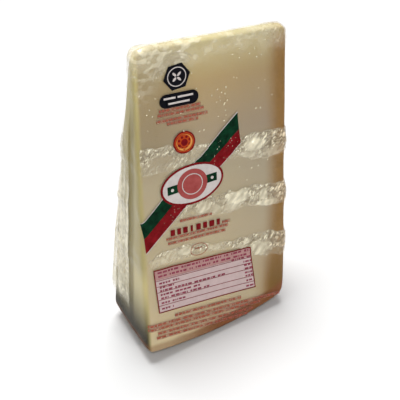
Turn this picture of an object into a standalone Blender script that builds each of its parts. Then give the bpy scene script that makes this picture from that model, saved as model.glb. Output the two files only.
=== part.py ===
"""A vacuum-packed wedge of hard grating cheese, standing on its rind.

The wedge is a sector of half a wheel. Its own frame, before it is stood up, has X from the
saw cut through the wheel's middle to the wheel's flat rind, Y through its thickness from the
printed face at -Y to the plain face at +Y, and Z from the rim up to the tip, which was the
wheel's centre. The clear film is drawn tight on it, so cheese and film are one solid.
"""

import math

import bmesh
import bpy
from mathutils import Matrix, Vector, noise

# The wedge, in metres
WHEEL_RADIUS = 0.218            # from tip to rim, along the saw cut
WEDGE_WIDTH = 0.1065            # half the wheel's height
TIP_THICKNESS = 0.0085
HEEL_THICKNESS = 0.0645
RIM_DROP = 0.022                # the rim bulges, so the flat rind side is this much shorter
RIM_BULGE_POWER = 2.4
EDGE_RADIUS_TIP = 0.003
EDGE_RADIUS_HEEL = 0.005

# Rounded corners of the wedge seen square on: side, end and radius
TIP_SAW_CORNER = 0.011
TIP_RIND_CORNER = 0.007
RIM_RIND_CORNER = 0.010
RIM_SAW_CORNER = 0.006

# Crinkled bands of loose film that run round the pack
BAND_HEIGHTS = (0.143, 0.106, 0.071)
BAND_HALF_HEIGHT = 0.0095
BAND_SLOPE = -0.075
BAND_LIFT = 0.0004
BAND_CRINKLE = 0.0011
CRINKLE_SIZE = 0.008

# The film's spare width, folded flat on the back half of the saw cut side
FLAP_LIFT = 0.0009
FLAP_CRINKLE = 0.0006
FLAP_FOOT = 0.022
FLAP_HEAD = 0.175
FLAP_EDGE = 0.0012

# Gathers in the film round the tip, and the slight waviness of the cut faces
GATHER_DEPTH = 0.0005
GATHER_REACH = 0.03
WAVE_DEPTH = 0.0003
WAVE_SIZE = 0.035
RIM_CLEAR_HEIGHT = 0.03         # below this the film lies smooth

# The lattice of the surface
COLUMNS = 19
LAYERS = 7
COARSE_ROW = 0.0072
FINE_ROW = 0.0036
HALF_EDGE_LEAN = math.tan(math.radians(22.5))

# How the wedge stands
STANDING_TILT = math.radians(12)
FLAT_SPOT_DEPTH = 0.0012
FLAT_SPOT_SNAP = 0.0002          # points this close to the flat spot's plane lie on it

FILM_OVER_CHEESE = (0.55, 0.47, 0.27, 1.0)


def clear_scene():
    for item in list(bpy.data.objects):
        bpy.data.objects.remove(item, do_unlink=True)


def make_material():
    """Glossy clear film close on cream-coloured cheese."""
    material = bpy.data.materials.new("film_over_cheese")
    material.use_nodes = True
    shader = material.node_tree.nodes["Principled BSDF"]
    shader.inputs["Base Color"].default_value = FILM_OVER_CHEESE
    shader.inputs["Roughness"].default_value = 0.25
    shader.inputs["Metallic"].default_value = 0.0
    return material


def smooth_step(low, high, value):
    part = min(max((value - low) / (high - low), 0.0), 1.0)
    return part * part * (3.0 - 2.0 * part)


def band_strength(x, z):
    """1 in the middle of a crinkled band, falling to 0 at its edges."""
    drift = BAND_SLOPE * (x - WEDGE_WIDTH / 2)
    distance = min(abs(z - height - drift) for height in BAND_HEIGHTS)
    return 1.0 - smooth_step(0.5 * BAND_HALF_HEIGHT, 1.2 * BAND_HALF_HEIGHT, distance)


def row_fractions():
    """Heights of the lattice rows, closer together in the crinkled bands, as parts of 1."""
    height = 0.0
    rows = [0.0]
    while height < WHEEL_RADIUS:
        in_band = band_strength(WEDGE_WIDTH / 2, height + COARSE_ROW / 2) > 0.0
        height += FINE_ROW if in_band else COARSE_ROW
        rows.append(height)
    return [row / rows[-1] for row in rows]


def stations(fractions):
    """Core place and lean of each lattice line: three share the core's edge at either end."""
    low, high = fractions[0], fractions[-1]
    start = [(low, -1.0), (low, -HALF_EDGE_LEAN)]
    middle = [(fraction, 0.0) for fraction in fractions]
    end = [(high, HALF_EDGE_LEAN), (high, 1.0)]
    return start + middle + end


def half_thickness(z):
    """Half the wedge's thickness, which grows evenly from the tip to the heel."""
    share = 1.0 - z / WHEEL_RADIUS
    return 0.5 * (TIP_THICKNESS + share * (HEEL_THICKNESS - TIP_THICKNESS))


def rim_arc_radius():
    """Distance from the rim to the line in which the two cut faces would meet."""
    spare = WHEEL_RADIUS * TIP_THICKNESS / (HEEL_THICKNESS - TIP_THICKNESS)
    return WHEEL_RADIUS + spare


def round_corner(x, z, corner_x, corner_z, radius):
    """Pull a point in the square at a corner of the outline onto a quarter disc."""
    along = 1.0 - abs(x - corner_x) / radius
    up = 1.0 - abs(z - corner_z) / radius
    if min(along, up) <= 0.0:
        return x, z
    inward_x = 1.0 if corner_x == 0.0 else -1.0
    inward_z = 1.0 if corner_z == 0.0 else -1.0
    disc_along = along * math.sqrt(1.0 - up * up / 2)
    disc_up = up * math.sqrt(1.0 - along * along / 2)
    return (
        corner_x + inward_x * radius * (1.0 - disc_along),
        corner_z + inward_z * radius * (1.0 - disc_up),
    )


def wedge_point(column, layer, row):
    """Where a lattice point lies on the wedge with rounded edges and corners."""
    (core_x, lean_x), (core_y, lean_y), (core_z, lean_z) = column, layer, row
    lean = Vector((lean_x, lean_y, lean_z)).normalized()
    radius = EDGE_RADIUS_HEEL + core_z * (EDGE_RADIUS_TIP - EDGE_RADIUS_HEEL)
    x = radius + core_x * (WEDGE_WIDTH - 2 * radius) + radius * lean.x
    z = radius + core_z * (WHEEL_RADIUS - 2 * radius) + radius * lean.z
    y = core_y * (half_thickness(z) - radius) + radius * lean.y
    x, z = round_corner(x, z, 0.0, WHEEL_RADIUS, TIP_SAW_CORNER)
    x, z = round_corner(x, z, WEDGE_WIDTH, WHEEL_RADIUS, TIP_RIND_CORNER)
    x, z = round_corner(x, z, WEDGE_WIDTH, 0.0, RIM_RIND_CORNER)
    x, z = round_corner(x, z, 0.0, 0.0, RIM_SAW_CORNER)
    bulge = RIM_DROP * (x / WEDGE_WIDTH) ** RIM_BULGE_POWER
    arc = rim_arc_radius() - math.sqrt(rim_arc_radius() ** 2 - y * y)
    return Vector((x, y, z + (1.0 - z / WHEEL_RADIUS) * (bulge + arc)))


def block_quads(counts):
    """The quads of a lattice block's six sides, as lattice indices, facing outwards."""
    for axis in range(3):
        across, along = (axis + 1) % 3, (axis + 2) % 3
        for side in (0, counts[axis] - 1):
            for a in range(counts[across] - 1):
                for b in range(counts[along] - 1):
                    quad = []
                    for step_a, step_b in ((0, 0), (1, 0), (1, 1), (0, 1)):
                        index = [0, 0, 0]
                        index[axis] = side
                        index[across] = a + step_a
                        index[along] = b + step_b
                        quad.append(tuple(index))
                    yield quad if side else quad[::-1]


def make_smooth_wedge():
    columns = stations([step / COLUMNS for step in range(COLUMNS + 1)])
    layers = stations([2.0 * step / LAYERS - 1.0 for step in range(LAYERS + 1)])
    rows = stations(row_fractions())
    mesh = bmesh.new()
    corners = {}
    for quad in block_quads((len(columns), len(layers), len(rows))):
        for i, j, k in quad:
            if (i, j, k) not in corners:
                corners[i, j, k] = mesh.verts.new(wedge_point(columns[i], layers[j], rows[k]))
        mesh.faces.new([corners[index] for index in quad])
    mesh.normal_update()
    return mesh


def flap_relief(point, normal):
    """The folded film on the back half of the saw cut side."""
    if normal.x > -0.5:
        return 0.0
    inside = smooth_step(-FLAP_EDGE, FLAP_EDGE, point.y)
    inside *= smooth_step(FLAP_FOOT, FLAP_FOOT + 0.01, point.z)
    inside *= 1.0 - smooth_step(FLAP_HEAD - 0.02, FLAP_HEAD, point.z)
    folds = noise.noise(Vector((point.x, 1.6 * point.y, point.z)) / CRINKLE_SIZE)
    return inside * (FLAP_LIFT + FLAP_CRINKLE * folds)


def relief(point, normal):
    """How far the film stands off the smooth wedge, out along the normal."""
    clear_of_rim = smooth_step(RIM_CLEAR_HEIGHT, 1.4 * RIM_CLEAR_HEIGHT, point.z)
    band = band_strength(point.x, point.z)
    crinkle = noise.noise(point / CRINKLE_SIZE) + 0.5 * noise.noise(2.1 * point / CRINKLE_SIZE)
    gather_place = (point - Vector((0.0, 0.0, WHEEL_RADIUS))).length
    gather = 1.0 - smooth_step(0.4 * GATHER_REACH, GATHER_REACH, gather_place)
    height = band * (BAND_LIFT + BAND_CRINKLE * crinkle)
    height += gather * GATHER_DEPTH * noise.noise(point / (0.7 * CRINKLE_SIZE))
    height += WAVE_DEPTH * noise.noise(point / WAVE_SIZE)
    return clear_of_rim * height + flap_relief(point, normal)


def press_film_relief(mesh):
    moves = [(vertex, vertex.normal * relief(vertex.co, vertex.normal)) for vertex in mesh.verts]
    for vertex, move in moves:
        vertex.co += move


def stand_on_rim(mesh):
    """Lean the wedge over its bulging rim, cut a flat spot and centre it on the floor."""
    bmesh.ops.transform(mesh, matrix=Matrix.Rotation(STANDING_TILT, 4, "Y"), verts=mesh.verts)
    floor = min(vertex.co.z for vertex in mesh.verts) + FLAT_SPOT_DEPTH
    cut = bmesh.ops.bisect_plane(
        mesh,
        geom=mesh.verts[:] + mesh.edges[:] + mesh.faces[:],
        dist=FLAT_SPOT_SNAP,
        plane_co=(0.0, 0.0, floor),
        plane_no=(0.0, 0.0, -1.0),
        use_snap_center=True,
        clear_outer=True,
    )
    rim = [item for item in cut["geom_cut"] if isinstance(item, bmesh.types.BMEdge)]
    bmesh.ops.edgeloop_fill(mesh, edges=rim)
    centre = []
    for axis in (0, 1):
        places = [vertex.co[axis] for vertex in mesh.verts]
        centre.append((min(places) + max(places)) / 2)
    shift = Matrix.Translation((-centre[0], -centre[1], -floor))
    bmesh.ops.transform(mesh, matrix=shift, verts=mesh.verts)
    bmesh.ops.recalc_face_normals(mesh, faces=mesh.faces)


def make_pack():
    mesh = make_smooth_wedge()
    press_film_relief(mesh)
    stand_on_rim(mesh)
    data = bpy.data.meshes.new("parmesan_pack")
    mesh.to_mesh(data)
    mesh.free()
    data.shade_smooth()
    data.materials.append(make_material())
    pack = bpy.data.objects.new("parmesan_pack", data)
    bpy.context.scene.collection.objects.link(pack)
    return pack


clear_scene()
make_pack()
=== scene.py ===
"""Looks of a vacuum-packed wedge of hard grating cheese, standing on its rind.

The straw-coloured cheese, the clear film drawn tight on it and the print on the film are
made here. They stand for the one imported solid.
"""

import math
import random

import bpy
from mathutils import Matrix, Vector, noise


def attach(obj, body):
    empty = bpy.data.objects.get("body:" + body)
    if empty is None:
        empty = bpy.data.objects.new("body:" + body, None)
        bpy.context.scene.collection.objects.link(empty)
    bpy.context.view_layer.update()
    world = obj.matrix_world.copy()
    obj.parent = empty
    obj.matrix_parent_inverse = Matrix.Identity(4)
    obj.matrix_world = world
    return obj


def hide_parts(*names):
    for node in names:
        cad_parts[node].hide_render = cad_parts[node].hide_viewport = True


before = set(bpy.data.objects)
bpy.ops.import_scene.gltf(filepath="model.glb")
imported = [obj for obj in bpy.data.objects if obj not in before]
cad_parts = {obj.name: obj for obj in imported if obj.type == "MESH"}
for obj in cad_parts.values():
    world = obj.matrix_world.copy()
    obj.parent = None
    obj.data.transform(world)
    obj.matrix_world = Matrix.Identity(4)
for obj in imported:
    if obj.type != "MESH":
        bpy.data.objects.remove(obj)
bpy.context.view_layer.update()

MM = 0.001
NOISE_SEED = 7
noise.seed_set(NOISE_SEED)  # without a seed noise_vector gives other folds in each run

# The wedge's own frame: X from the saw cut to the flat rind, Y from the printed face to the
# plain one, Z from the rim to the tip. It stands tilted over its rim.
PACK_TILT = math.radians(12)
PACK_FOOT = Vector((-0.07463, 0.0, 0.00581))
WEDGE_TO_WORLD = Matrix.Translation(PACK_FOOT) @ Matrix.Rotation(PACK_TILT, 4, "Y")
WORLD_TO_WEDGE = WEDGE_TO_WORLD.inverted()
WEDGE_WIDTH = 106.5 * MM
WEDGE_LENGTH = 218 * MM
TIP_HALF = 4.25 * MM
HEEL_HALF = 32.25 * MM

# The label frame lies in the printed face: X as above, Z up the face from its lower left
# corner, and -Y out of the face
FACE_LEAN = math.atan((HEEL_HALF - TIP_HALF) / WEDGE_LENGTH)
LABEL_CORNER = Vector((0.0, -HEEL_HALF, 2.4 * MM))
LABEL_TO_WEDGE = Matrix.Translation(LABEL_CORNER) @ Matrix.Rotation(-FACE_LEAN, 4, "X")
LABEL_TO_WORLD = WEDGE_TO_WORLD @ LABEL_TO_WEDGE

# Crinkled bands of loose film that run round the pack. Each is a line of places across the
# pack with the band's low and high edge there, in mm of the label frame.
BAND_OUTLINES = (
    ((0, 136, 154), (20, 134, 152.5), (39, 136, 149), (72, 134, 147), (80, 130, 148.5),
     (95, 129, 148), (107, 131, 147)),
    ((27, 100, 107), (33, 99, 109), (42, 98, 110), (61, 96, 111), (76, 98, 111),
     (82, 95.5, 111.5), (104, 93, 109), (107, 95, 108)),
    ((6, 69, 74), (14, 69, 79), (32, 70, 79), (47, 70, 76), (64, 69, 73), (73, 65, 75),
     (79, 59, 75), (91, 56, 75), (107, 54, 71)),
)
BAND_STARTS = (-3 * MM, 24 * MM, 3 * MM)  # how far from the saw cut each shows in front
BAND_FADE_IN = 4 * MM
BAND_EDGE = 0.7 * MM
BAND_WOBBLE = 1.6 * MM
BAND_WOBBLE_SIZE = 6 * MM
BAND_SIDE_FADE = 12 * MM  # over the sawn side it fades in to the back
BAND_SIDE_STRENGTH = 0.6
BAND_NEAR = 3 * MM  # the film is meshed finely this near a band
BAND_FLATTER_FROM = 92 * MM  # from here to the flat rind its relief is lower
FOLD_SLANT = math.radians(52)  # the folds run up to the right across the face
FOLD_STRETCH = 2.3  # and are this much longer than they are wide
FOLD_WARP = 1.2 * MM
FOLD_WARP_SIZE = 3.5 * MM
BUBBLE_SIZE = 1.9 * MM
BUBBLE_HEIGHT = 0.6 * MM
CREASE_SIZE = 5 * MM
CREASE_HEIGHT = 0.35 * MM
COARSE_SIZE = 9 * MM  # how the fine and coarse parts of a band change
STREAK_SIZE = 2.4 * MM
SWELL_SIZE = 13 * MM
POCKET_HEIGHT = 0.8 * MM
POCKET_DENT_SIZE = 5 * MM
POCKET_EDGE_SIZES = (4 * MM, 1.5 * MM)  # of the coarse and fine raggedness of its edge

# Smooth pockets in the bands of the printed face: place, half width and half height in mm of
# the label frame, and how milky each is
POCKETS = (
    (81, 141, 8.5, 5.5, 1.0), (77, 134.5, 7, 3, 0.5), (97, 133, 8, 3.5, 0.45),
    (15, 143.5, 10, 3.2, 0.05), (43, 144, 6, 4, 0.2),
    (69, 106, 9.5, 6, 1.0), (64, 100, 7, 4, 0.6), (90, 96.5, 11, 2.8, 0.8),
    (88, 103.5, 4, 4.5, 0.75), (44, 104, 6, 4.5, 0.7), (52, 101, 5, 4, 0.45),
    (85, 63.5, 7.5, 6.5, 0.85), (75, 71, 2.6, 2.6, 0.95), (70, 67.5, 4, 3, 0.5),
    (30, 75, 6, 3.5, 0.65), (20, 75, 5, 4, 0.45), (11, 72, 6, 4, 0.4), (52, 73, 6, 2.5, 0.45),
)

# Folded spare film on the back half of the saw cut side
FLAP_FOOT = 20 * MM
FLAP_HEAD = 178 * MM
FLAP_FOOT_FADE = 12 * MM
FLAP_HEAD_FADE = 25 * MM
FLAP_EDGE = 0.7 * MM
FLAP_WAVE = 1.5 * MM  # of its front edge
FLAP_WAVE_SIZE = 25 * MM
FLAP_BULGE = 1.3 * MM  # of its low back part
BULGE_ACROSS = (8 * MM, 26 * MM)
BULGE_DOWN = (55 * MM, 95 * MM)
PLEAT_WIDTH = 6.5 * MM
PLEAT_LENGTH = 55 * MM
PLEAT_HEIGHT = 0.6 * MM
PATCH_SIZE = 11 * MM
FLAP_CREASED_BELOW = (55 * MM, 100 * MM)
FLAP_CLEARER_BELOW = (100 * MM, 45 * MM)
FLAP_CLEARER_ABOVE = (114 * MM, 146 * MM)

# Gathers of the film round the tip corner, and arcs round the dark tile
GATHERS = (
    # Place across and height of the corner, reach across and up, and strength
    (3 * MM, 215 * MM, 66 * MM, 17 * MM, 1.0),
    (3 * MM, 215 * MM, 18 * MM, 36 * MM, 0.8),
    (102 * MM, 216 * MM, 14 * MM, 14 * MM, 0.4),
    (70 * MM, 216 * MM, 50 * MM, 9 * MM, 0.5),
)
GATHER_HEIGHT = 0.4 * MM
GATHER_SIZE = 5 * MM
GATHER_SHIFT = Vector((0.0, 0.0, 90 * MM))  # where their pattern is read
SHEET_WIDTH = 5 * MM  # creased sheets that the gathers are made of
SHEET_TALL = 3 * MM
RIND_CORNER = (103 * MM, 217 * MM, 18 * MM, 15 * MM)  # finely crinkled: place and reach
RIND_CORNER_STRENGTH = 0.35
WELT_REACH = 16 * MM  # the film stands off the tip's sawn corner
WELT_HEIGHT = 2.2 * MM
TIP_HAZE = (194 * MM, 214 * MM)  # heights between which the film turns hazy
HAZE_CLEARS = (90 * MM, 102 * MM)  # and clears again towards the flat rind
HAZE_SIZE = 7 * MM
TILE_CENTRE = (28.3 * MM, 196.6 * MM)
ARC_RADII = (10.8 * MM, 12.2 * MM, 13.9 * MM, 15.9 * MM)
ARC_WIDTH = 0.5 * MM
ARC_HEIGHT = 0.3 * MM

# Where the film is meshed finely: low end of the zone round the tile and its right end, and
# low and left end of the zone at the flat rind's corner
TILE_ZONE = (178 * MM, 48 * MM)
CORNER_ZONE = (192 * MM, 90 * MM)
FLAP_ZONE_START = -3 * MM
LARGE_FACE = 2 * MM * MM

# How closely film, cheese and print lie on each other
CLEAR_MILK = 0.01
FILM_SINK = 0.1 * MM  # how deep a crease may go
RIND_RAGGED = 0.25 * MM  # how uneven the tight film over the flat rind is
RIND_RAGGED_SIZE = 3 * MM
RIND_LOOSE = 1.5 * MM  # how far it may stand off the face beside it,
RIND_LOOSE_ACROSS = (86 * MM, 104 * MM)  # and where that limit begins and is full
RIND_LOOSE_UP = (40 * MM, 60 * MM)
CHEESE_GAP = 0.7 * MM
PRINT_LIFT = 0.14 * MM
PRINT_STEP = 0.07 * MM
PRINT_THICKNESS = 0.04 * MM


def rgb(hex_colour):
    """A linear colour from sRGB hex."""
    channels = [int(hex_colour[i:i + 2], 16) / 255 for i in (0, 2, 4)]
    linear = [c / 12.92 if c < 0.04045 else ((c + 0.055) / 1.055) ** 2.4 for c in channels]
    return (*linear, 1.0)


def add_node(tree, kind, inputs=None, **settings):
    """A shader node with its settings, and its sockets set to values or linked to outputs. A
    node given for a socket stands for its first output."""
    node = tree.nodes.new("ShaderNode" + kind)
    for name, value in settings.items():
        setattr(node, name, value)
    for name, value in (inputs or {}).items():
        if isinstance(value, bpy.types.Node):
            value = value.outputs[0]
        if isinstance(value, bpy.types.NodeSocket):
            tree.links.new(value, node.inputs[name])
        else:
            node.inputs[name].default_value = value
    return node


def new_material(name):
    """A material with an empty node tree, and that tree."""
    material = bpy.data.materials.new(name)
    material.use_nodes = True
    material.node_tree.nodes.clear()
    return material, material.node_tree


def set_ramp(ramp, stops):
    """Colour stops of a ramp as (place, colour) pairs."""
    while len(ramp.color_ramp.elements) < len(stops):
        ramp.color_ramp.elements.new(0.5)
    for element, (place, colour) in zip(ramp.color_ramp.elements, stops):
        element.position = place
        element.color = colour


def fade(low, high, value):
    """0 at the low end, 1 at the high one, and a smooth step between them."""
    part = min(max((value - low) / (high - low), 0.0), 1.0)
    return part * part * (3.0 - 2.0 * part)


def select_only(*pieces):
    """Select just these pieces, with the first one active."""
    bpy.ops.object.select_all(action="DESELECT")
    for piece in pieces:
        piece.select_set(True)
    bpy.context.view_layer.objects.active = pieces[0]


def apply_modifier(piece, kind, **settings):
    """Change a piece's mesh by one modifier."""
    modifier = piece.modifiers.new(kind.lower(), kind)
    for name, value in settings.items():
        setattr(modifier, name, value)
    select_only(piece)
    bpy.ops.object.modifier_apply(modifier=modifier.name)


def select_faces(piece, wanted):
    """Select the faces whose centre passes the test, and leave the piece in edit mode."""
    for polygon in piece.data.polygons:
        polygon.select = wanted(polygon)
    chosen = {v for p in piece.data.polygons if p.select for v in p.vertices}
    for vertex in piece.data.vertices:
        vertex.select = vertex.index in chosen
    for edge in piece.data.edges:
        edge.select = False
    select_only(piece)
    bpy.ops.object.mode_set(mode="EDIT")
    bpy.ops.mesh.select_mode(type="FACE")


# Cheese and film

def copy_of_pack(name):
    """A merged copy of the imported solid, its triangles joined back into quads."""
    piece = bpy.data.objects.new(name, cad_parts["parmesan_pack"].data.copy())
    bpy.context.scene.collection.objects.link(piece)
    piece.data.materials.clear()
    select_only(piece)
    bpy.ops.object.mode_set(mode="EDIT")
    bpy.ops.mesh.select_all(action="SELECT")
    bpy.ops.mesh.remove_doubles(threshold=0.02 * MM)
    bpy.ops.mesh.tris_convert_to_quads()
    bpy.ops.object.mode_set(mode="OBJECT")
    bpy.ops.object.shade_smooth()
    return piece


def make_cheese():
    """The cut wedge itself, a little inside the film and without its relief."""
    cheese = copy_of_pack("cheese_wedge")
    apply_modifier(cheese, "SUBSURF", levels=1, render_levels=1)
    apply_modifier(cheese, "SMOOTH", factor=0.5, iterations=9)
    bpy.ops.object.mode_set(mode="EDIT")
    bpy.ops.mesh.select_all(action="SELECT")
    bpy.ops.transform.shrink_fatten(value=-CHEESE_GAP)
    bpy.ops.object.mode_set(mode="OBJECT")
    return cheese


def on_label(place):
    """Place across and height in the label frame of a point in the wedge's frame."""
    return place.x, (place.z - LABEL_CORNER.z) / math.cos(FACE_LEAN)


def edges_at(outline, across):
    """Low and high edge of a band at a place across the pack."""
    for (x0, low0, high0), (x1, low1, high1) in zip(outline, outline[1:]):
        if across <= x1 * MM:
            share = min(max((across / MM - x0) / (x1 - x0), 0.0), 1.0)
            return (low0 + share * (low1 - low0)) * MM, (high0 + share * (high1 - high0)) * MM
    return outline[-1][1] * MM, outline[-1][2] * MM


def band_at(place, outward):
    """Strength of the crinkled band at a point, and the level in it from -1 up to 1."""
    across, up = on_label(place)
    up += BAND_WOBBLE * noise.noise(place / BAND_WOBBLE_SIZE)
    best = (0.0, 0.0)
    for outline, start in zip(BAND_OUTLINES, BAND_STARTS):
        low, high = edges_at(outline, across)
        half = (high - low) / 2
        level = (up - low - half) / half
        strength = 1.0 - fade(1.0 - BAND_EDGE / half, 1.0 + BAND_EDGE / half, abs(level))
        if outward.x < -0.5:
            strength *= BAND_SIDE_STRENGTH * fade(0.0, BAND_SIDE_FADE, place.y)
        elif outward.y < -0.2:
            strength *= fade(start, start + BAND_FADE_IN, across)
        if strength > best[0]:
            best = (strength, level)
    return best


def pocket_at(place, outward, level):
    """How smooth and how milky the loose film is, where it has ballooned into a pocket."""
    if outward.y > -0.5:
        swell = fade(0.05, 0.3, noise.noise(place / SWELL_SIZE) - 0.15 * level)
        return swell, 0.6 * swell
    across, up = on_label(place)
    coarse, fine = (noise.noise(place / size) for size in POCKET_EDGE_SIZES)
    ragged = 0.22 * coarse + 0.12 * fine
    smooth = milky = 0.0
    for x, z, half_width, half_height, milk in POCKETS:
        reach = math.hypot((across / MM - x) / half_width, (up / MM - z) / half_height)
        inside = 1.0 - fade(0.6, 1.15, reach + ragged)
        smooth = max(smooth, inside)
        milky = max(milky, inside * milk)
    return smooth, milky


def flap_strength(place, outward):
    """1 on the folded spare film of the saw cut side."""
    if outward.x > -0.5:
        return 0.0
    wave = FLAP_WAVE * noise.noise(place / FLAP_WAVE_SIZE)
    inside = fade(-FLAP_EDGE, FLAP_EDGE, place.y + wave)
    inside *= fade(FLAP_FOOT, FLAP_FOOT + FLAP_FOOT_FADE, place.z)
    return inside * (1.0 - fade(FLAP_HEAD - FLAP_HEAD_FADE, FLAP_HEAD, place.z))


def nearness(place, core, x, z, wide, tall):
    """1 in the core of a zone round a point of the face, falling to 0 past its reach."""
    reach = math.hypot((place.x - x) / wide, (place.z - z) / tall)
    return 1.0 - fade(core, 1.1, reach)


def gather_strength(place):
    """1 in the gathers of the tip's corners, which run out along its edges."""
    return max(strength * nearness(place, 0.5, *zone) for *zone, strength in GATHERS)


def arc_strength(place, outward):
    """Thin creases drawn round the upper left of the dark tile."""
    if outward.y > -0.5:
        return 0.0
    across = place.x - TILE_CENTRE[0]
    up = place.z - TILE_CENTRE[1]
    reach = math.hypot(across, up)
    turn = math.atan2(up, -across)
    side = fade(-0.2, 0.4, turn) * (1.0 - fade(1.9, 2.6, turn))
    ridges = sum(math.exp(-((reach - radius) / ARC_WIDTH) ** 2) for radius in ARC_RADII)
    return side * ridges


def slanted(place):
    """A place squeezed along the slant, so that a pattern read there is drawn out along it."""
    along = place.x * math.cos(FOLD_SLANT) + place.z * math.sin(FOLD_SLANT)
    across = place.z * math.cos(FOLD_SLANT) - place.x * math.sin(FOLD_SLANT)
    return Vector((along / FOLD_STRETCH, place.y, across))


def crinkle(place):
    """Bubbles, how bright each is, and sharp creases of loose film, from 0 to 1."""
    place = slanted(place)
    warp = FOLD_WARP * noise.noise_vector(place / FOLD_WARP_SIZE)
    reaches, centres = noise.voronoi((place + warp) / BUBBLE_SIZE)
    bubble = 1.0 - (1.0 - min(1.0, 1.5 * (reaches[1] - reaches[0]))) ** 2
    shine = fade(-0.4, 0.3, noise.noise(3.7 * centres[0]))
    crease = max(0.0, 1.0 - 3.4 * abs(noise.noise((place + warp) / CREASE_SIZE))) ** 1.5
    return bubble, shine, crease


def band_film(band, level, place, outward, crinkles):
    """What a crinkled band adds to the film's height, milk, glitter and shadow."""
    bubble, shine, crease = crinkles
    smooth, milky = pocket_at(place, outward, level)
    row = level + 0.6 * noise.noise(place / COARSE_SIZE) + 0.5 * place.x / WEDGE_WIDTH
    fine = (0.5 + 0.5 * fade(-0.4, 0.3, row)) * (1 - smooth)
    free = 1.0 - 0.8 * fade(0.2, 0.8, outward.x)
    free *= 1.0 - 0.5 * fade(BAND_FLATTER_FROM, WEDGE_WIDTH, place.x)
    relief = (BUBBLE_HEIGHT * fine * (bubble * (0.5 + shine) - 0.3)
              + CREASE_HEIGHT * (0.3 + 0.7 * fine) * (crease - 0.25)
              + POCKET_HEIGHT * smooth * (0.7 + 0.5 * noise.noise(place / POCKET_DENT_SIZE)))
    streaks = noise.noise(slanted(place) / STREAK_SIZE)
    # On the bubbles' tops and along the creases the milk is painted highlight, the glitter is
    # painted glints and the shadow is painted shadow between the bubbles; the milk of the pockets is
    # the film's own haze.
    milk = (0.03 + 0.4 * fine * shine * bubble + 0.25 * fine * crease
            + milky * (0.68 + 0.55 * streaks))
    glitter = fine * (0.3 + 0.7 * bubble * shine)
    shadow = (0.35 + 0.65 * fine) * (1.0 - bubble) ** 1.5
    return band * free * relief, band * milk, band * glitter, band * shadow


def flap_film(flap, place, crease):
    """What the folded spare film adds to the film's height, milk, glitter and shadow."""
    width, length = place.y / PLEAT_WIDTH, place.z / PLEAT_LENGTH
    pleat = noise.noise(Vector((7.3, width, length)))
    streak = noise.noise(Vector((1.1, 2.6 * width, length)))
    low = 1.0 - fade(*FLAP_CREASED_BELOW, place.z)
    creased = low * crease
    thin = (1.0 - 0.35 * fade(*FLAP_CLEARER_BELOW, place.z)
            - 0.6 * fade(*FLAP_CLEARER_ABOVE, place.z))
    patch = noise.noise(place / PATCH_SIZE)
    # The milk here is partly the haze of the folded film and partly painted reflection of bright
    # surroundings to its left; its glitter is painted glints.
    milk = thin * (0.77 + 0.3 * patch + 0.55 * pleat + 0.3 * streak + 0.4 * creased)
    return (flap * PLEAT_HEIGHT * (pleat + 0.4 * streak + 0.4 * creased),
            flap * milk, flap * 0.1 * low, 0.0)


def gather_film(gather, place):
    """What the tip's gathers add to the film's height, milk, glitter and shadow."""
    fold = noise.noise((place + GATHER_SHIFT) / GATHER_SIZE)
    lie = Vector((place.x / SHEET_WIDTH, 3.7, place.z / SHEET_TALL))
    sheet = fade(0.0, 0.3, noise.noise(lie))
    return (gather * GATHER_HEIGHT * (0.3 + 0.6 * fold + 0.5 * sheet),
            gather * max(0.0, 0.06 + 0.1 * fold + 0.26 * sheet),
            gather * 0.04 * sheet, 0.0)


def tip_film(place):
    """What the haze and the welt at the tip add to height, milk, glitter and shadow."""
    haze = fade(*TIP_HAZE, place.z) * (1.0 - 0.6 * fade(*HAZE_CLEARS, place.x))
    welt = 1.0 - fade(0.0, WELT_REACH, math.hypot(place.x, place.z - WEDGE_LENGTH))
    cloud = 0.2 + 0.14 * noise.noise(place / HAZE_SIZE)
    return WELT_HEIGHT * welt, haze * cloud + 0.12 * welt, 0.03 * haze, 0.0


def flap_bulge(place, outward):
    """How far the low back part of the folded film stands out."""
    if outward.x > -0.3:
        return 0.0
    return FLAP_BULGE * fade(*BULGE_ACROSS, place.y) * (1.0 - fade(*BULGE_DOWN, place.z))


def film_point(place, outward):
    """Height of the film over the solid, how milky it is, how finely it glitters with painted
    glints, and how dark the painted shadow in the gaps between its folds is."""
    band, level = band_at(place, outward)
    band = max(band, RIND_CORNER_STRENGTH * nearness(place, 0.3, *RIND_CORNER))
    flap = flap_strength(place, outward)
    gather = gather_strength(place)
    arcs = arc_strength(place, outward)
    # The arcs are low creases with painted shadow along them.
    parts = [(flap_bulge(place, outward), CLEAR_MILK, 0.0, 0.0), tip_film(place),
             (ARC_HEIGHT * arcs, 0.12 * arcs, 0.0, 0.7 * arcs)]
    if max(band, flap, gather) > 0.0:
        crinkles = crinkle(place)
        parts += [band_film(band, level, place, outward, crinkles),
                  flap_film(flap, place, crinkles[2]), gather_film(gather, place)]
    height, milk, glitter, shadow = (sum(values) for values in zip(*parts))
    return max(height, -FILM_SINK), min(max(milk, 0.0), 1.0), min(glitter, 1.0), shadow


def held_by_rind(place):
    """A point of the film drawn back to the flat rind and to the printed face beside it."""
    ragged = RIND_RAGGED * (1 + noise.noise(place / RIND_RAGGED_SIZE))
    place.x = min(place.x, WEDGE_WIDTH + ragged)
    on_face = LABEL_TO_WEDGE.inverted() @ place
    beside_rind = fade(*RIND_LOOSE_ACROSS, place.x) * fade(*RIND_LOOSE_UP, place.z)
    if on_face.y < 0.0:
        held = -RIND_LOOSE * math.tanh(-on_face.y / RIND_LOOSE)
        on_face.y += beside_rind * (held - on_face.y)
    return LABEL_TO_WEDGE @ on_face


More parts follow.
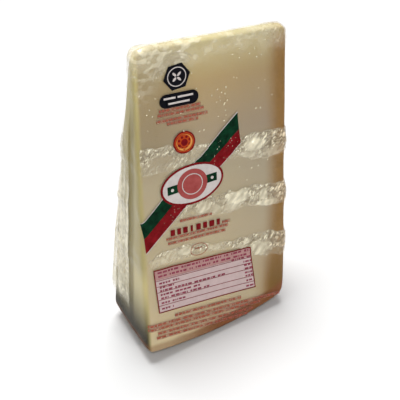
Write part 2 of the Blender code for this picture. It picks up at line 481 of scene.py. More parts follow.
def make_film():
    """The clear film, crinkled where it is loose. Its looks there are attributes."""
    film = copy_of_pack("clear_film")
    apply_modifier(film, "SUBSURF", levels=1, render_levels=1)
    turn = WORLD_TO_WEDGE.to_3x3()

    def is_detailed(polygon):
        """True in the parts of the film that the camera sees crinkled."""
        place, outward = WORLD_TO_WEDGE @ polygon.center, turn @ polygon.normal
        near_tile = place.z > TILE_ZONE[0] and place.x < TILE_ZONE[1]
        near_corner = place.z > CORNER_ZONE[0] and place.x > CORNER_ZONE[1]
        in_flap = outward.x < -0.4 and place.y > FLAP_ZONE_START and place.z < FLAP_HEAD
        in_front = outward.y < -0.5
        return in_flap or in_front and (is_near_band(place) or near_tile or near_corner)

    def is_loose(polygon):
        """True for the large faces left in all loose parts."""
        place = WORLD_TO_WEDGE @ polygon.center
        near_tip = gather_strength(place) > 0.0 or place.z > TIP_HAZE[0]
        return polygon.area > LARGE_FACE and (is_near_band(place) or near_tip)

    for is_wanted, cuts in ((is_detailed, 4), (is_loose, 2)):
        select_faces(film, is_wanted)
        bpy.ops.mesh.subdivide(number_cuts=cuts)
        bpy.ops.object.mode_set(mode="OBJECT")

    points = [film_point(WORLD_TO_WEDGE @ vertex.co, turn @ vertex.normal)
              for vertex in film.data.vertices]
    moves = [vertex.normal * point[0] for vertex, point in zip(film.data.vertices, points)]
    for vertex, move in zip(film.data.vertices, moves):
        vertex.co = WEDGE_TO_WORLD @ held_by_rind(WORLD_TO_WEDGE @ (vertex.co + move))
        vertex.co.z = max(vertex.co.z, 0.0)
    for place, name in ((1, "milk"), (2, "glitter"), (3, "shadow")):
        layer = film.data.attributes.new(name, "FLOAT", "POINT")
        for value, point in zip(layer.data, points):
            value.value = point[place]
    select_only(film)
    bpy.ops.object.shade_smooth()
    return film


def is_near_band(place):
    """True in a band and close above and below it, all round the pack."""
    across, up = on_label(place)
    edges = [edges_at(outline, across) for outline in BAND_OUTLINES]
    return any(low - BAND_NEAR < up < high + BAND_NEAR for low, high in edges)


BUBBLE_AND_GLINT_FIELDS = (
    # How many, the left, right, low and high end of the field in mm of the label frame, how
    # high they stand over the film in mm, and how milky they are
    (14, 30, 98, 156, 200, 0.35, 0.8),
    (15, 51, 63, 161, 184, 0.45, 0.8),
    (9, 66, 98, 199, 210, 0.35, 0.7),
    (7, 2, 16, 156, 196, 0.35, 0.8),
    (5, 62, 98, 114, 128, 0.35, 0.8),
    (4, 20, 98, 26, 92, 0.35, 0.7),
    # These two fields over the ribbon are painted glints: milky domes where crinkles catch the light
    # over the print.
    (22, 46, 70, 132, 150, 0.6, 0.3),
    (16, 14, 30, 96, 110, 0.5, 0.25),
)
DOME_LENGTHS = (0.3 * MM, 0.75 * MM)
DOME_WIDTHS = (0.2 * MM, 0.35 * MM)
DOME_TURN = 0.5  # spread of their slant in radians


def make_bubbles_and_glints(film):
    """Pin-head bubbles of air caught under the film of the printed face, and over the
    ribbon milky domes that are painted glints.
    """
    draw = random.Random(21)
    bpy.ops.object.select_all(action="DESELECT")
    bpy.ops.mesh.primitive_ico_sphere_add(subdivisions=2, radius=1.0)
    dome = bpy.context.object
    bpy.ops.object.mode_set(mode="EDIT")
    bpy.ops.mesh.bisect(plane_co=(0, 0.35, 0), plane_no=(0, 1, 0), clear_outer=True, use_fill=True)
    bpy.ops.object.mode_set(mode="OBJECT")
    domes = []
    out = LABEL_TO_WORLD.to_3x3() @ Vector((0.0, 1.0, 0.0))
    for count, left, right, low, high, depth, milk in BUBBLE_AND_GLINT_FIELDS:
        for _ in range(count):
            place = Vector((draw.uniform(left, right) * MM, -20 * MM, draw.uniform(low, high) * MM))
            hit, spot, _, _ = film.ray_cast(LABEL_TO_WORLD @ place, out)
            if not hit:
                continue
            place.y = (LABEL_TO_WORLD.inverted() @ spot).y
            wide, tall = draw.uniform(*DOME_LENGTHS), draw.uniform(*DOME_WIDTHS)
            bubble = bpy.data.objects.new("milky_dome", dome.data.copy())
            bubble.data.transform(Matrix.Translation(place)
                                  @ Matrix.Rotation(draw.gauss(-FOLD_SLANT, DOME_TURN), 4, "Y")
                                  @ Matrix.Diagonal((wide, depth * MM, tall, 1.0)))
            layer = bubble.data.attributes.new("milk", "FLOAT", "POINT")
            for value in layer.data:
                value.value = milk
            bpy.context.scene.collection.objects.link(bubble)
            domes.append(bubble)
    bpy.data.objects.remove(dome)
    bubbles = joined(domes, "air_bubbles_and_painted_glints")
    bubbles.data.transform(LABEL_TO_WORLD)
    bpy.ops.object.shade_smooth()
    return bubbles


# Print on the film, flat at first a little before the face. All its measures are mm of the
# label frame.
SHEET_AHEAD = 4
FIELD_STEP = 0.7  # how finely fields are meshed, to follow the film
SMALL_STEP = 0.5
LARGE_STEP = 1.2


def circle_points(centre, radius_x, radius_z=None, count=40, turn=0.0):
    """The outline of a circle, an oval or a regular polygon, clockwise."""
    radius_z = radius_z or radius_x
    points = []
    for step in range(count):
        angle = -2 * math.pi * step / count
        x, z = radius_x * math.cos(angle), radius_z * math.sin(angle)
        points.append((centre[0] + x * math.cos(turn) - z * math.sin(turn),
                       centre[1] + x * math.sin(turn) + z * math.cos(turn)))
    return points


def bar_points(left, right, low, high):
    """The outline of an upright bar, clockwise."""
    return [(left, low), (left, high), (right, high), (right, low)]


def around(centre, reach, turn):
    """The point at a reach and an angle from a centre."""
    return centre[0] + reach * math.cos(turn), centre[1] + reach * math.sin(turn)


def new_sheet(name, left, right, low, high, columns, rows):
    """A flat grid standing just off the face."""
    bpy.ops.object.select_all(action="DESELECT")
    bpy.ops.mesh.primitive_grid_add(
        x_subdivisions=columns,
        y_subdivisions=rows,
        size=1.0,
        location=((left + right) / 2 * MM, -SHEET_AHEAD * MM, (low + high) / 2 * MM),
        rotation=(math.pi / 2, 0.0, 0.0),
    )
    sheet = bpy.context.object
    sheet.name = name
    sheet.scale = ((right - left) * MM, (high - low) * MM, 1.0)
    bpy.ops.object.transform_apply()
    return sheet


def cut_field(name, outline, step=FIELD_STEP):
    """A field of print inside a convex outline that runs clockwise."""
    (left, low), (right, high) = (tuple(end(axis) for axis in zip(*outline)) for end in (min, max))
    columns, rows = max(1, round((right - left) / step)), max(1, round((high - low) / step))
    sheet = new_sheet(name, left, right, low, high, columns, rows)
    bpy.ops.object.mode_set(mode="EDIT")
    for (x0, z0), (x1, z1) in zip(outline, outline[1:] + outline[:1]):
        bpy.ops.mesh.select_all(action="SELECT")
        bpy.ops.mesh.bisect(
            plane_co=(x0 * MM, 0.0, z0 * MM),
            plane_no=Vector((z0 - z1, 0.0, x1 - x0)).normalized(),
            clear_outer=True,
            threshold=0.00001,
        )
    bpy.ops.object.mode_set(mode="OBJECT")
    return sheet


def cut_ring(name, outer, inner):
    """A ring between two outlines with the same number of points."""
    ring = bpy.data.meshes.new(name)
    points = [(x * MM, -SHEET_AHEAD * MM, z * MM) for x, z in outer + inner]
    count = len(outer)
    faces = []
    for step in range(count):
        after = (step + 1) % count
        faces.append((step, count + step, count + after, after))
    ring.from_pydata(points, [], faces)
    piece = bpy.data.objects.new(name, ring)
    bpy.context.scene.collection.objects.link(piece)
    return piece


def thin_ring(centre, outer, inner):
    """A round line with its outer and inner radius."""
    return cut_ring("ring", circle_points(centre, outer), circle_points(centre, inner))


def small_print(name, lines, letter, seed):
    """Rows of plain dashes in place of small print, as (left, right, height)."""
    draw = random.Random(seed)
    return joined([print_row(name, *line, letter, draw) for line in lines], name)


def print_row(name, left, right, base, letter, draw):
    """One row: a grid of short strokes, with the gaps between its dashes deleted."""
    columns = round((right - left) / (STROKE_WIDTH * letter))
    row = new_sheet(name, left, right, base + 0.1 * letter, base + 0.9 * letter, columns, 1)
    kept = set()
    column = 0
    while column < columns:
        for _ in range(draw.randint(*DASHES_TOGETHER)):
            width = draw.choice(DASH_STROKES)
            kept.update(range(column, column + width))
            column += width + 1
        column += 2
    cell = (right - left) * MM / columns
    select_faces(row, lambda face: int((face.center.x - left * MM) / cell) not in kept)
    bpy.ops.mesh.delete(type="FACE")
    bpy.ops.object.mode_set(mode="OBJECT")
    return row


def print_tint(name, lines, letter):
    """Strips of thin ink behind rows of small print."""
    bars = [bar_points(left, right, base - 0.35 * letter, base + 1.3 * letter)
            for left, right, base in lines]
    return joined([cut_field(name, bar, LARGE_STEP) for bar in bars], name)


def joined(parts, name):
    """Several pieces made one, under a new name."""
    select_only(*parts)
    if len(parts) > 1:
        bpy.ops.object.join()
    parts[0].name = name
    parts[0].data.name = name
    return parts[0]


def lay_on_film(piece, film, layer):
    """Press a flat print against the film, give it its thickness and put it in place."""
    piece.matrix_world = LABEL_TO_WORLD
    apply_modifier(
        piece, "SHRINKWRAP", target=film, wrap_method="PROJECT", wrap_mode="ABOVE_SURFACE",
        use_project_y=True, use_positive_direction=True, use_negative_direction=True,
        offset=PRINT_LIFT + layer * PRINT_STEP,
    )
    apply_modifier(piece, "SOLIDIFY", thickness=PRINT_THICKNESS, offset=-1.0)
    bpy.ops.object.transform_apply()
    bpy.ops.object.shade_smooth()
    return piece


RIBBON_FIELDS = {
    # The part above the plaque and the part below it
    "green": ([(69.7, 164.9), (70.6, 153.3), (46.5, 133.0), (38.1, 136.8)],
              [(16.1, 116.9), (24.6, 113.4), (1.9, 90.8), (0.4, 101.4)]),
    "red": ([(70.6, 153.3), (71.7, 143.8), (54.9, 128.7), (46.5, 133.0)],
            [(24.6, 113.4), (33.2, 109.1), (2.4, 80.2), (1.9, 90.8)]),
}
RIBBON_EDGES = (
    [(69.6, 165.6), (70.0, 164.5), (38.6, 136.3), (37.7, 136.9)],
    [(71.7, 144.0), (71.8, 143.4), (55.1, 128.4), (54.6, 129.1)],
    [(15.8, 117.3), (16.6, 116.6), (0.5, 101.0), (0.3, 101.9)],
    [(33.0, 109.6), (33.4, 108.8), (2.5, 79.6), (2.3, 80.8)],
)
TILE_RADIUS = 9.2
TILE_TURN = math.radians(8)
TILE_RING = (6.4, 5.8)
PETAL_REACH = 2.2
PETAL_RADII = (1.7, 0.8)
PILL_ENDS = (20.6, 38.2)
PILL_CENTRE = 181.8
PILL_HALF = 4.5
RODS = ((19, 27, 182.8), (28.4, 39, 182.8), (22, 36.5, 179.3))  # left, right and low end
ROD_HEIGHT = 1.3
SEAL_CENTRE = (31.9, 152.5)
SEAL_RADII = (7.6, 6.7)  # of its rim and its face
SEAL_DOT_REACH = 3.9
SEAL_DOT_RADIUS = 0.85
SEAL_HEART_RADIUS = 2.3
SEAL_RING = (5.9, 5.5)
CRESCENT_RADII = (5.6, 4.75)  # of its outer circle and of the one cut out,
CRESCENT_SHIFT = (-0.4, 0.7)  # which lies off the centre
PLAQUE_CENTRE = (36.6, 122.6)
PLAQUE_TURN = math.radians(6)
PLAQUE_RIM = (22.4, 14.2)
PLAQUE_FIELD = (20.9, 12.7)
BELT_HALF = (17.5, 2.9)
BELT_RISE = 1.7
DISC_RADIUS = 10.6
DISC_RING = (7.4, 6.8)
STUD_REACH = 14.1
STUD_RISE = 0.1
STUD_RADIUS = 1.1
TITLE_HEIGHTS = (88.4, 92.8)
TITLE_BLOCKS = (  # left end and width of each
    (20.2, 3.1), (24.9, 2.7), (29.2, 3.2), (34.6, 1.6), (38.6, 3.3), (43.6, 2.9), (48.2, 3.6),
    (53.6, 2.3),
)
STROKE_WIDTH = 0.42  # of small print, as a part of its letters' height
DASH_STROKES = (1, 2, 3, 4)
DASHES_TOGETHER = (2, 6)
SMALL_PRINT = {
    # Rows as (left, right, height), the letters' height and the seed of the dashes
    "tile": (((15.5, 44, 175.4), (14.5, 46, 172.6), (13.5, 48.5, 168.8), (20.5, 42, 166.2)),
             1.5, 3),
    "title": (((27, 50, 97.2), (57.4, 63.5, 88.8), (17, 62, 86.0), (18, 60, 82.6)), 1.5, 5),
    "oval": (((37.2, 42.6, 74.2),), 1.2, 7),
    "foot": (((21, 71, 26.8), (1.5, 101, 22.8), (1.5, 86, 19.8), (8, 80, 16.0), (7, 76, 12.6)),
             1.8, 9),
    "heading": (((9.5, 76.5, 63.0), (10, 76, 60.0)), 1.8, 11),
    "panel": (((10.5, 27, 54.6), (10.8, 21, 51.4), (11, 59, 48.9), (11.2, 40, 45.7),
               (11.4, 47, 43.0), (11.6, 31, 39.2), (11.8, 21, 34.8), (64, 78, 57.9),
               (73, 79, 54.4), (73.5, 79, 51.6), (74, 79.5, 48.9), (74, 79.5, 45.6),
               (74.5, 80, 43.0), (75, 80, 39.2), (75, 80.5, 34.8)), 1.6, 13),
}
OVAL_CENTRE = (39.9, 73.9)
OVAL_RADII = ((6.3, 4.6), (5.9, 4.2))
PANEL_OUTLINE = [(9.9, 32.8), (6.9, 66.3), (77.8, 65.7), (81.9, 33.3)]
PANEL_HEAD = [(7.9, 58.4), (7.0, 65.9), (77.7, 65.4), (78.4, 58.4)]
PANEL_FRAME = [
    [(6.7, 65.8), (6.7, 66.6), (78.1, 66.0), (78.1, 65.2)],
    [(9.6, 32.5), (9.6, 33.2), (82.2, 33.7), (82.2, 33.0)],
    [(9.5, 32.7), (6.6, 66.3), (7.3, 66.3), (10.2, 32.7)],
    [(81.5, 33.2), (77.4, 65.8), (78.1, 65.8), (82.2, 33.2)],
]
RULE_HEIGHTS = (57.5, 53.0, 48.5, 42.5, 38.0)
RULE_THICKNESS = 0.35
RULE_TOP = (8.0, 78.6, 60)  # the rules' left and right end at this height
RULE_SPLAY = (0.08, 0.12)  # how far both move to the right, going down


def ribbon_print():
    """The diagonal ribbon, as (piece, layer over the film, ink), like all the rest."""
    for colour, outlines in RIBBON_FIELDS.items():
        fields = [cut_field("field", outline) for outline in outlines]
        yield joined(fields, "ribbon_" + colour), 1, colour
    edges = [cut_field("edge", outline) for outline in RIBBON_EDGES]
    yield joined(edges, "ribbon_edges"), 0, "pale"


def tile_print():
    """A dark six-sided tile with a ring and petals, over a pill with lines."""
    tile = (TILE_CENTRE[0] / MM, TILE_CENTRE[1] / MM)
    low, high = PILL_CENTRE - PILL_HALF, PILL_CENTRE + PILL_HALF
    dark = [cut_field("tile", circle_points(tile, TILE_RADIUS, count=6, turn=TILE_TURN))]
    dark += [cut_field("pill", circle_points((end, PILL_CENTRE), PILL_HALF)) for end in PILL_ENDS]
    dark.append(cut_field("pill", bar_points(*PILL_ENDS, low, high)))
    yield joined(dark, "dark_tile_and_pill"), 0, "dark"
    details = [thin_ring(tile, *TILE_RING)]
    for turn in (math.radians(45 + 90 * step) for step in range(4)):
        petal = circle_points(around(tile, PETAL_REACH, turn), *PETAL_RADII, count=12, turn=turn)
        details.append(cut_field("petal", petal, SMALL_STEP))
    for left, right, low in RODS:
        details.append(cut_field("rod", bar_points(left, right, low, low + ROD_HEIGHT)))
    yield joined(details, "tile_details"), 1, "pale"


def seal_print():
    """A round seal: a ring of dots round a heart, with a crescent of painted glare."""
    rim, face = SEAL_RADII
    yield cut_field("seal_rim", circle_points(SEAL_CENTRE, rim)), 0, "red"
    yield cut_field("seal_face", circle_points(SEAL_CENTRE, face)), 1, "orange"
    dots = []
    for turn in (math.radians(22.5 + 45 * step) for step in range(8)):
        centre = around(SEAL_CENTRE, SEAL_DOT_REACH, turn)
        dots.append(cut_field("dot", circle_points(centre, SEAL_DOT_RADIUS, count=12), SMALL_STEP))
    heart = circle_points(SEAL_CENTRE, SEAL_HEART_RADIUS, count=20)
    dots += [cut_field("heart", heart, SMALL_STEP), thin_ring(SEAL_CENTRE, *SEAL_RING)]
    yield joined(dots, "seal_dots"), 2, "red"
    outer, inner = CRESCENT_RADII
    cut_out = circle_points([a + b for a, b in zip(SEAL_CENTRE, CRESCENT_SHIFT)], inner)
    # The crescent is painted glare, pale orange on the seal's face.
    yield cut_ring("seal_crescent", circle_points(SEAL_CENTRE, outer), cut_out), 3, "painted_glare"


def plaque_print():
    """An oval plaque over the ribbon, with a belt and a disc."""
    x, z = PLAQUE_CENTRE
    for name, radii, layer, ink in (("plaque_rim", PLAQUE_RIM, 2, "red"),
                                    ("plaque_field", PLAQUE_FIELD, 3, "pale")):
        yield cut_field(name, circle_points((x, z), *radii, turn=PLAQUE_TURN)), layer, ink
    belt = [(x + side * BELT_HALF[0], z + side * BELT_RISE + up * BELT_HALF[1])
            for side, up in ((-1, -1), (-1, 1), (1, 1), (1, -1))]
    yield cut_field("plaque_belt", belt), 4, "green"
    yield cut_field("plaque_disc", circle_points((x, z), DISC_RADIUS)), 5, "rose"
    details = [thin_ring((x, z), *DISC_RING)]
    for off in (-STUD_REACH, STUD_REACH):
        stud = circle_points((x + off, z + STUD_RISE * off), STUD_RADIUS, count=16)
        details.append(cut_field("dot", stud, SMALL_STEP))
    yield joined(details, "plaque_details"), 6, "pale"


def tinted_print(block):
    """A block of small print and the tint behind it."""
    rows, letter, seed = SMALL_PRINT[block]
    yield print_tint(block + "_print_tint", rows, letter), 0, "thin"
    yield small_print(block + "_print", rows, letter, seed), 1, "rust"


def title_print():
    """A row of solid blocks in place of a title."""
    blocks = [cut_field("block", bar_points(left, left + width, *TITLE_HEIGHTS), step=1.0)
              for left, width in TITLE_BLOCKS]
    yield joined(blocks, "title_blocks"), 1, "red"


def oval_print():
    """A small oval line with a mark in it."""
    outer, inner = (circle_points(OVAL_CENTRE, *radii) for radii in OVAL_RADII)
    yield cut_ring("small_oval", outer, inner), 1, "rust"
    yield small_print("oval_print", *SMALL_PRINT["oval"]), 1, "rust"


def panel_print():
    """The ruled panel, with dashes in its rows."""
    yield cut_field("panel_fill", PANEL_OUTLINE, LARGE_STEP), 0, "blush"
    yield cut_field("panel_head", PANEL_HEAD, LARGE_STEP), 1, "faded_rose"
    left, right, top = RULE_TOP
    rules = [bar_points(left + (top - z) * RULE_SPLAY[0], right + (top - z) * RULE_SPLAY[1], z,
                        z + RULE_THICKNESS) for z in RULE_HEIGHTS]
    strips = [cut_field("rule", outline, LARGE_STEP) for outline in PANEL_FRAME + rules]
    yield joined(strips, "panel_rules"), 2, "red"
    yield small_print("panel_heading", *SMALL_PRINT["heading"]), 2, "wine"
    yield small_print("panel_print", *SMALL_PRINT["panel"]), 2, "wine"


def make_print(film):
    """All the print laid on the film, as (piece, ink) pairs."""
    made = []
    for part in (ribbon_print(), tile_print(), seal_print(), plaque_print(), title_print(),
                 tinted_print("tile"), tinted_print("title"), oval_print(),
                 tinted_print("foot"), panel_print()):
        for piece, layer, ink in part:
            made.append((lay_on_film(piece, film, layer), ink))
    return made


# Materials

def wedge_coordinates(tree):
    """Object coordinates turned into the wedge's own frame, whole and as X, Y and Z."""
    place = add_node(tree, "TexCoord")
    turned = add_node(
        tree, "Mapping",
        {"Vector": place.outputs["Object"],
         "Location": WORLD_TO_WEDGE.to_translation(),
         "Rotation": WORLD_TO_WEDGE.to_euler()},
    )
    split = add_node(tree, "SeparateXYZ", {"Vector": turned})
    return turned, split.outputs


GRAIN_SIZE = 2.2 * MM
CLOUD_SIZE = 45 * MM
LAYER_WOBBLE = 6 * MM
RIM_DROP = 22 * MM  # how much shorter the wedge is at the flat rind, and how that grows
RIM_POWER = 2.4
RIM_DEPTHS = (8 * MM, 13 * MM)  # of the tanned layer over the rim, at the saw cut and the rind
RIND_SPREAD = (110 * MM, 4 * MM)  # below this height the flat rind's layer gets this much wider
DULLER_ACROSS = (45 * MM, 98 * MM)
CHEESE_LAYERS = (
    # Colour, how much it covers, and where: each place fades it in from one mm to the other
    ("8A7A58", 0.55, (("X", 44, 12), ("Z", 125, 160))),  # duller upper left
    ("94744A", 1.0, (("across", 80, 104), ("Z", 90, 30))),  # tanned cut face
    ("B3A56E", 1.0, (("X", 4, 1),)),  # sawn side
    ("CEBF84", 1.0, (("X", 4, 1), ("along", 70, 54))),  # its pale low part
    ("8E7E3A", 1.0, (("X", 4, 1), ("Y", -8, -4), ("Y", 2, 0))),  # painted shade: a dark strip along the front edge of the folded film
    ("D8C98C", 0.55, (("X", 4, 1), ("Z", 158, 196))),  # paler to the tip
    ("241D08", 1.0, (("X", 4, 1), ("along", 54, 6))),  # its foot: dark rind near the rim, deepened by painted shade
    ("toasted", 1.0, (("flat_rind", 90, 103), ("Z", 218, 206))),  # flat rind
    ("74521C", 1.0, (("flat_rind", 90, 103), ("Z", 75, 35))),  # oiled low rind
    ("7C4A24", 0.5, (("rim_layer", -0.5, -4),)),  # flat rind darker towards the rim
    ("7C4A24", 1.0, (("rim_layer", -0.5, -4), ("X", 10, 60))),
    ("84602C", 1.0, (("over_rim", 3.5, 1.5),)),  # the rim itself
)


def make_cheese_material():
    """Aged hard cheese, sawn and brushed: a fine dry grain in straw that turns duller towards
    the rind, with the oily rind itself a toasted brown layer along two sides."""
    material, tree = new_material("aged_hard_cheese")
    vector, axes = wedge_coordinates(tree)
    cloud = add_node(tree, "TexNoise", {"Vector": vector, "Scale": 1 / CLOUD_SIZE, "Detail": 4.0,
                                        "Roughness": 0.6})
    grain = add_node(tree, "TexNoise", {"Vector": vector, "Scale": 1 / GRAIN_SIZE, "Detail": 3.0})
    wobble = add_node(tree, "Math", {0: cloud, 1: LAYER_WOBBLE}, operation="MULTIPLY")

    places = {axis: axes[axis] for axis in "XYZ"}
    bend = axes["X"]
    for operation, value in (("MULTIPLY", 1 / WEDGE_WIDTH), ("POWER", RIM_POWER),
                             ("MULTIPLY", RIM_DROP)):
        bend = add_node(tree, "Math", {0: bend, 1: value}, operation=operation)
    half_wobble = add_node(tree, "Math", {0: wobble, 1: 0.5}, operation="MULTIPLY")
    spread = add_node(tree, "MapRange", {"Value": axes["Z"], "From Min": RIND_SPREAD[0],
                                         "From Max": 0.0, "To Max": RIND_SPREAD[1]})
    deepen = add_node(tree, "MapRange", {"Value": axes["X"], "From Max": WEDGE_WIDTH,
                                         "To Min": RIM_DEPTHS[0], "To Max": RIM_DEPTHS[1]})
    for name, start, steps in (
        ("across", "X", (("ADD", wobble),)),
        ("along", "Z", (("SUBTRACT", wobble),)),
        ("flat_rind", "X", (("ADD", half_wobble), ("ADD", spread))),
        ("over_rim", "Z", (("SUBTRACT", bend),)),
        ("rim_layer", "Z", (("SUBTRACT", bend), ("SUBTRACT", wobble), ("SUBTRACT", deepen))),
    ):
        place = axes[start]
        for operation, value in steps:
            place = add_node(tree, "Math", {0: place, 1: value}, operation=operation)
        places[name] = place

    height = add_node(tree, "Math", {0: places["along"], 1: 1 / WEDGE_LENGTH}, operation="MULTIPLY")
    # The ramp over the height is partly painted light: the straw is paler at the foot and duller in
    # the middle of the face, as the light fell there.
    straw = add_node(tree, "ValToRGB", {"Fac": height})
    set_ramp(straw, [(0.02, rgb("CAB892")), (0.2, rgb("BCAB88")), (0.58, rgb("AC9E80")),
                     (0.7, rgb("A08E72")), (0.86, rgb("AC9365")), (0.96, rgb("B8A872")),
                     (1.0, rgb("A69E6C"))])
    dulled = add_node(tree, "MapRange", {"Value": places["across"], "From Min": DULLER_ACROSS[0],
                                         "From Max": DULLER_ACROSS[1]},
                      interpolation_type="SMOOTHSTEP")
    colour = add_node(tree, "Mix", {"Factor": dulled, "A": straw, "B": rgb("EFEFF5")},
                      data_type="RGBA", blend_type="MULTIPLY")
    toasted = add_node(tree, "ValToRGB", {"Fac": grain})
    set_ramp(toasted, [(0.3, rgb("7E5A20")), (0.7, rgb("8C662A"))])
    for tone, cover, fades in CHEESE_LAYERS:
        share = cover
        for place, low, high in fades:
            step = add_node(tree, "MapRange",
                            {"Value": places[place], "From Min": low * MM,
                             "From Max": high * MM}, interpolation_type="SMOOTHSTEP")
            share = add_node(tree, "Math", {0: step, 1: share}, operation="MULTIPLY")
        layer = toasted if tone == "toasted" else rgb(tone)
        colour = add_node(tree, "Mix", {"Factor": share, "A": colour.outputs["Result"], "B": layer},
                          data_type="RGBA")

    bump = add_node(tree, "Bump", {"Height": grain, "Strength": 0.25, "Distance": 0.3 * MM})
    shader = add_node(
        tree, "BsdfPrincipled",
        {"Base Color": colour.outputs["Result"], "Roughness": 0.55, "Normal": bump,
         "Specular IOR Level": 0.12,
         "Subsurface Weight": 0.25, "Subsurface Radius": (1.0, 0.65, 0.3),
         "Subsurface Scale": 2.5 * MM},
    )
    add_node(tree, "OutputMaterial", {"Surface": shader})
    return material


FLECK_SIZE = 2.5 * MM
SPARK_SIZE = 1.3 * MM
FILM_RIPPLE_SIZE = 9 * MM
FOOT_SHADE_UP = (12 * MM, 60 * MM)  # the film shines fully only from the upper height on; below, its reflection is turned down as painted shade at the foot
CREAM_ACROSS = (88 * MM, 106 * MM)  # its milkiness turns warmer towards the flat rind


def make_film_material():
    """Clear multilayer vacuum film, drawn tight: mirror-like glints on what can be seen
    through it, milky where it is loose and folded, with painted highlights, glints and
    shadow where it is crinkled. At the foot its reflection is turned down, as painted shade."""
    material, tree = new_material("clear_vacuum_film")
    milk = add_node(tree, "Attribute", attribute_name="milk")
    glitter = add_node(tree, "Attribute", attribute_name="glitter")
    shadow = add_node(tree, "Attribute", attribute_name="shadow")
    vector, axes = wedge_coordinates(tree)
    folded = add_node(tree, "Mapping", {"Vector": vector, "Rotation": (0.0, -FOLD_SLANT, 0.0),
                                        "Scale": (FOLD_STRETCH, 1.0, 1.0)}, vector_type="TEXTURE")
    flecks = add_node(tree, "TexNoise", {"Vector": folded, "Scale": 1 / FLECK_SIZE, "Detail": 3.0})
    ripple = add_node(tree, "TexNoise", {"Vector": vector, "Scale": 1 / FILM_RIPPLE_SIZE,
                                         "Detail": 2.0})
    sparks = add_node(tree, "TexNoise",
                      {"Vector": folded, "Scale": 1 / SPARK_SIZE, "Detail": 1.0, "Distortion": 0.6})
    spark = add_node(tree, "MapRange", {"Value": sparks, "From Min": 0.5, "From Max": 0.62})
    rough = add_node(tree, "Math",
                     {0: sparks, 1: glitter.outputs["Fac"], 2: ripple}, operation="MULTIPLY_ADD")
    bump = add_node(tree, "Bump", {"Height": rough, "Strength": 0.4, "Distance": 0.5 * MM})
    uneven = add_node(tree, "MapRange", {"Value": flecks, "From Min": 0.3, "From Max": 0.7,
                                         "To Min": 0.75, "To Max": 1.2})
    # Painted glints: white specks where the fine noise peaks, as far as the glitter attribute
    # allows.
    glint = add_node(tree, "Math", {0: spark, 1: glitter.outputs["Fac"]}, operation="MULTIPLY")
    haze = add_node(tree, "Math", {0: milk.outputs["Fac"], 1: uneven, 2: glint},
                    operation="MULTIPLY_ADD")
    cover = add_node(tree, "Math", {0: shadow.outputs["Fac"], 1: 0.5, 2: haze},
                     operation="MULTIPLY_ADD", use_clamp=True)
    fresnel = add_node(tree, "Fresnel", {"IOR": 1.36, "Normal": bump})
    side = add_node(tree, "NewGeometry")
    outer = add_node(tree, "Math", {0: 1.0, 1: side.outputs["Backfacing"]}, operation="SUBTRACT")
    # Painted shade: the film's reflection is turned down towards the foot.
    foot_shade = add_node(tree, "MapRange",
                        {"Value": axes["Z"], "From Min": FOOT_SHADE_UP[0], "From Max": FOOT_SHADE_UP[1],
                         "To Min": 0.15}, interpolation_type="SMOOTHSTEP")
    mirror = fresnel
    for factor in (outer, foot_shade):
        mirror = add_node(tree, "Math", {0: mirror, 1: factor}, operation="MULTIPLY")
    clear = add_node(tree, "BsdfTransparent")
    gloss = add_node(tree, "BsdfGlossy", {"Roughness": 0.1, "Normal": bump})
    window = add_node(tree, "MixShader", {0: mirror, 1: clear, 2: gloss})
    by_rind = add_node(tree, "MapRange", {"Value": axes["X"], "From Min": CREAM_ACROSS[0],
                                          "From Max": CREAM_ACROSS[1]},
                       interpolation_type="SMOOTHSTEP")
    cream = add_node(tree, "Mix", {"Factor": by_rind, "A": rgb("FAF1D2"), "B": rgb("F0DAB4")},
                     data_type="RGBA")
    # Painted shadow: where the shadow attribute is high, the milk turns dark tan and covers more, in
    # the gaps between folds.
    folds = add_node(tree, "Mix", {"Factor": shadow.outputs["Fac"], "A": cream.outputs["Result"],
                                   "B": rgb("6E5A34")}, data_type="RGBA")
    milky = add_node(tree, "BsdfPrincipled",
                     {"Base Color": folds.outputs["Result"], "Roughness": 0.25,
                      "Specular IOR Level": 0.8, "Normal": bump})
    surface = add_node(tree, "MixShader", {0: cover, 1: window, 2: milky})
    add_node(tree, "OutputMaterial", {"Surface": surface})
    return material


def make_ink_material(name, low, high, cover=1.0):
    """Flexographic ink under the film's gloss: flat colour with a faint cloudiness, or a
    thin screen tint that lets the cheese show where the cover is less than 1."""
    material, tree = new_material(name)
    vector, _ = wedge_coordinates(tree)
    cloud = add_node(tree, "TexNoise", {"Vector": vector, "Scale": 1 / (4 * MM), "Detail": 4.0,
                                        "Roughness": 0.6})
    tone = add_node(tree, "ValToRGB", {"Fac": cloud})
    set_ramp(tone, [(0.3, rgb(low)), (0.7, rgb(high))])
    ripple = add_node(tree, "TexNoise", {"Vector": vector, "Scale": 1 / (2.5 * MM), "Detail": 2.0})
    bump = add_node(tree, "Bump", {"Height": ripple, "Strength": 0.2, "Distance": 0.2 * MM})
    shader = add_node(
        tree, "BsdfPrincipled",
        {"Base Color": tone, "Roughness": 0.2, "Normal": bump, "Specular IOR Level": 0.04},
    )
    if cover < 1.0:
        clear = add_node(tree, "BsdfTransparent")
        shader = add_node(tree, "MixShader", {0: cover, 1: clear, 2: shader})
    add_node(tree, "OutputMaterial", {"Surface": shader})
    return material


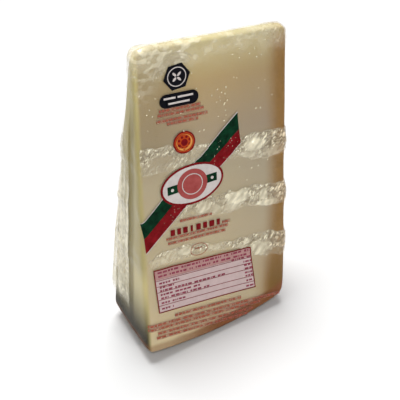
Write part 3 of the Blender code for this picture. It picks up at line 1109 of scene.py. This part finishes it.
INKS = {
    # Slot, the two tones, and how much of what is behind it the ink covers
    "green": ("green_ink", "01180C", "083A22", 1.0),
    "red": ("red_ink", "60080C", "84141C", 1.0),
    "dark": ("dark_ink", "08080E", "0E0E16", 1.0),
    "pale": ("pale_ink", "BDB4B0", "CCC4C0", 1.0),
    "orange": ("orange_ink", "A03414", "B8481C", 1.0),
    # pale orange for the seal's crescent of painted glare
    "painted_glare": ("orange_ink", "CC8040", "E09C50", 1.0),
    "rose": ("red_ink", "93403E", "A4504D", 1.0),
    "rust": ("red_ink", "944E3C", "A05A48", 1.0),
    "thin": ("red_ink", "B87868", "C08272", 0.24),
    "wine": ("red_ink", "823848", "924858", 1.0),
    "faded_rose": ("pale_ink", "A87E7A", "B48A86", 1.0),
    "blush": ("pale_ink", "BCA6A4", "C6B0AE", 1.0),
}


def make_floor():
    """A large white card just under the pack."""
    material, tree = new_material("matt_white_card")
    shader = add_node(tree, "BsdfPrincipled", {"Base Color": rgb("D0D0D0"), "Roughness": 0.9})
    add_node(tree, "OutputMaterial", {"Surface": shader})
    bpy.ops.object.select_all(action="DESELECT")
    bpy.ops.mesh.primitive_plane_add(size=6.0, location=(0.0, 0.0, -0.2 * MM))
    floor = bpy.context.object
    floor.name = "studio_floor"
    floor.data.materials.append(material)
    return floor


# Light and camera

LIGHT_AIM = Vector((0.0, 0.0, 0.1))
LIGHTS = (
    # Name, place, width and height in metres, and watts
    ("overhead_softbox", (0.35, 0.45, 2.15), (1.0, 1.0), 64),
    ("front_lamp", (-0.25, -0.8, 0.95), (0.12, 0.12), 4.5),
    ("low_lamp", (0.25, -1.1, 0.45), (0.1, 0.1), 2.2),
    ("left_strip", (-0.9, 0.1, 0.6), (0.12, 0.6), 0.4),
)
WORLD_STRENGTH = 0.25


def light_scene():
    """A soft overhead light, small lamps that glint in the film, and a faint white world."""
    scene = bpy.context.scene
    scene.view_settings.view_transform = "Standard"
    scene.world = bpy.data.worlds.new("studio")
    scene.world.use_nodes = True
    background = scene.world.node_tree.nodes["Background"]
    background.inputs["Color"].default_value = rgb("FFFFFF")
    background.inputs["Strength"].default_value = WORLD_STRENGTH
    for name, place, size, watts in LIGHTS:
        data = bpy.data.lights.new(name, "AREA")
        data.shape = "RECTANGLE"
        data.size, data.size_y = size
        data.energy = watts
        light = bpy.data.objects.new(name, data)
        light.location = place
        light.rotation_euler = (LIGHT_AIM - light.location).to_track_quat("-Z", "Y").to_euler()
        scene.collection.objects.link(light)


CAMERA_YAW = math.radians(25.869)
CAMERA_PITCH = math.radians(26.873)
CAMERA_ROLL = math.radians(-1.436)
CAMERA_AIM = Vector((45.54 * MM, 7.68 * MM, 105.28 * MM))
CAMERA_DISTANCE = 711 * MM
CAMERA_LENS = 97.69


def make_camera():
    """The photographer's view, worked out in the label frame."""
    data = bpy.data.cameras.new("photo_camera")
    data.lens = CAMERA_LENS
    data.sensor_width = 36
    camera = bpy.data.objects.new("photo_camera", data)
    bpy.context.scene.collection.objects.link(camera)
    turn = Matrix.Rotation(-CAMERA_YAW, 4, "Z")
    pitch = Matrix.Rotation(math.pi / 2 - CAMERA_PITCH, 4, "X")
    roll = Matrix.Rotation(CAMERA_ROLL, 4, "Z")
    back = Matrix.Translation((0.0, 0.0, CAMERA_DISTANCE))
    camera.matrix_world = (
        LABEL_TO_WORLD @ Matrix.Translation(CAMERA_AIM) @ turn @ pitch @ roll @ back
    )
    bpy.context.scene.camera = camera


def main():
    """Stage, cheese, film, air bubbles, painted glints and print."""
    make_camera()
    light_scene()
    make_floor()

    cheese = make_cheese()
    cheese.data.materials.append(make_cheese_material())
    film = make_film()
    film.data.materials.append(make_film_material())
    bubbles = make_bubbles_and_glints(film)
    bubbles.data.materials.append(film.data.materials[0])
    for piece, slot in ((cheese, "cheese"), (film, "film"), (bubbles, "film")):
        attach(piece, "root")
        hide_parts("parmesan_pack")

    inks = {
        ink: make_ink_material(ink + "_film_ink", low, high, cover)
        for ink, (slot, low, high, cover) in INKS.items()
    }
    for piece, ink in make_print(film):
        piece.data.materials.clear()
        piece.data.materials.append(inks[ink])
        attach(piece, "root")


main()
